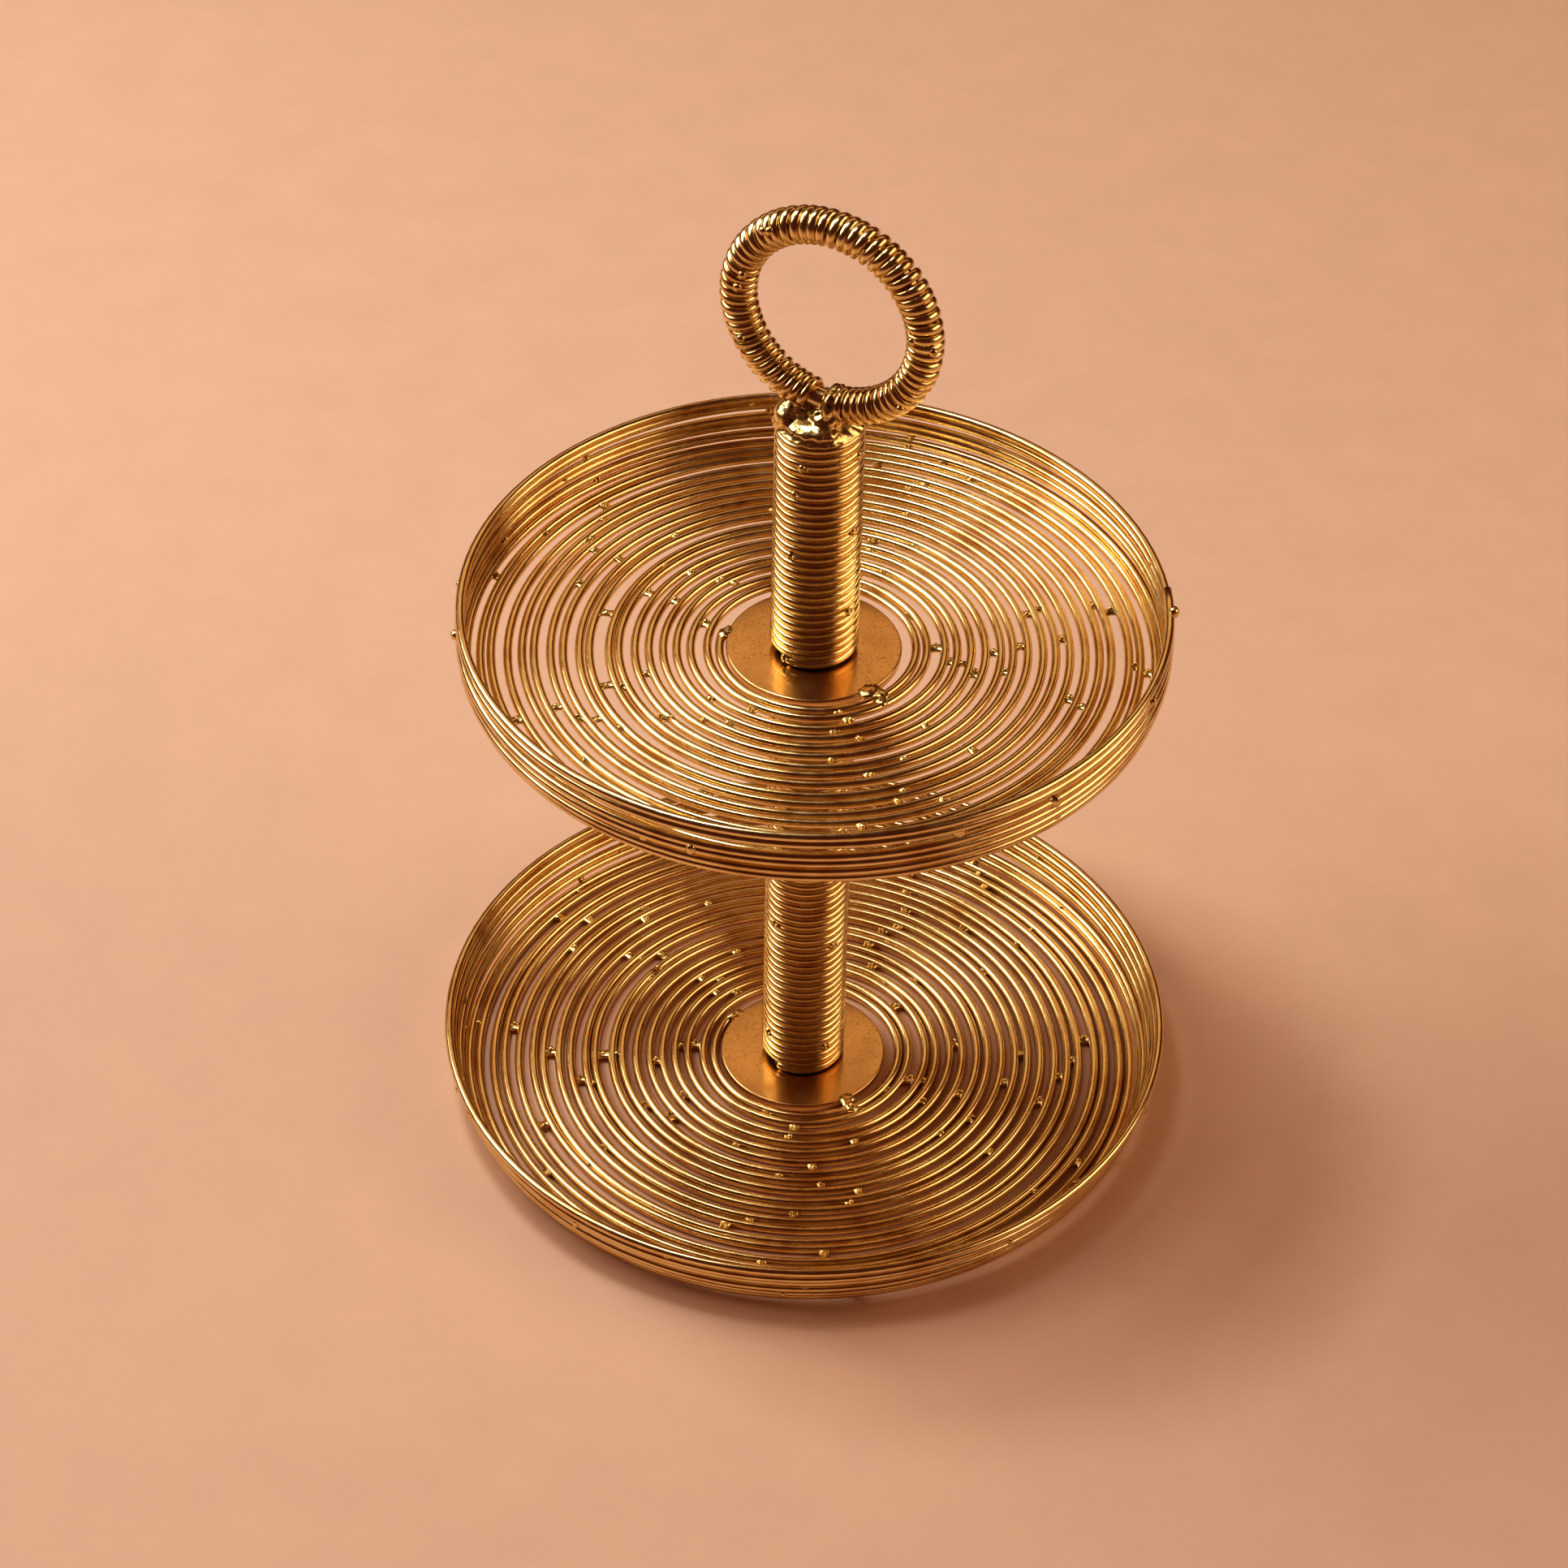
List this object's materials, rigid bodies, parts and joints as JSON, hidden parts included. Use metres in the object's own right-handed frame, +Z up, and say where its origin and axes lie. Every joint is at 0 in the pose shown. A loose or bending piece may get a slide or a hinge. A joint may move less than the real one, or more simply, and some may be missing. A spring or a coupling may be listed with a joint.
{
  "type": "tiered cake stand",
  "caption": "Tiered cake stand of coiled gold wire: shallow spiral dishes on wire-wrapped posts with a wound carrying ring on top.",
  "frame": {"origin": "centre of the underside of the lower dish, where it rests on the table", "axes": "+Z up along the posts, +X to the right and +Y away from a viewer standing in front"},
  "size_m": [0.2455, 0.2461, 0.3473],
  "materials": {
    "brass_wire": "brass-plated and lacquered, bright satin",
    "brass_plate": "brass-plated, polished and lacquered",
    "braze": "melted and plated over, glossy and lumpy",
    "steel_fitting": "turned and left bare"
  },
  "bodies": {
    "base": {"lower_hub_plate": "brass_plate", "lower_floor_spiral_inner": "brass_wire", "lower_floor_spiral_outer": "brass_wire", "lower_rim_coil": "brass_wire", "lower_hub_braze": "braze", "tie_rod": "steel_fitting"},
    "lower_post": {"lower_post_tube": "steel_fitting", "lower_post_coil": "brass_wire", "lower_post_bottom_bush": "steel_fitting", "lower_post_top_bush": "steel_fitting"},
    "upper_dish": {"upper_hub_plate": "brass_plate", "upper_floor_spiral_inner": "brass_wire", "upper_floor_spiral_outer": "brass_wire", "upper_rim_coil": "brass_wire", "upper_hub_braze": "braze"},
    "handle": {"upper_post_tube": "steel_fitting", "upper_post_coil": "brass_wire", "upper_post_insert": "steel_fitting", "upper_post_top_cap": "steel_fitting", "handle_ring_core": "steel_fitting", "handle_ring_winding": "brass_wire", "handle_braze": "braze"}
  },
  "joints": [
    {"name": "lower_post_turn", "type": "hinge", "parent": "base", "child": "lower_post", "pos_m": [0, 0, 0.0033], "axis": [0, 0, 1], "continuous": true},
    {"name": "upper_dish_turn", "type": "hinge", "parent": "base", "child": "upper_dish", "pos_m": [0, 0, 0.179], "axis": [0, 0, 1], "continuous": true},
    {"name": "handle_unscrew", "type": "hinge", "parent": "base", "child": "handle", "pos_m": [0, 0, 0.1823], "axis": [0, 0, 1], "range_deg": [0, 5184]}
  ]
}
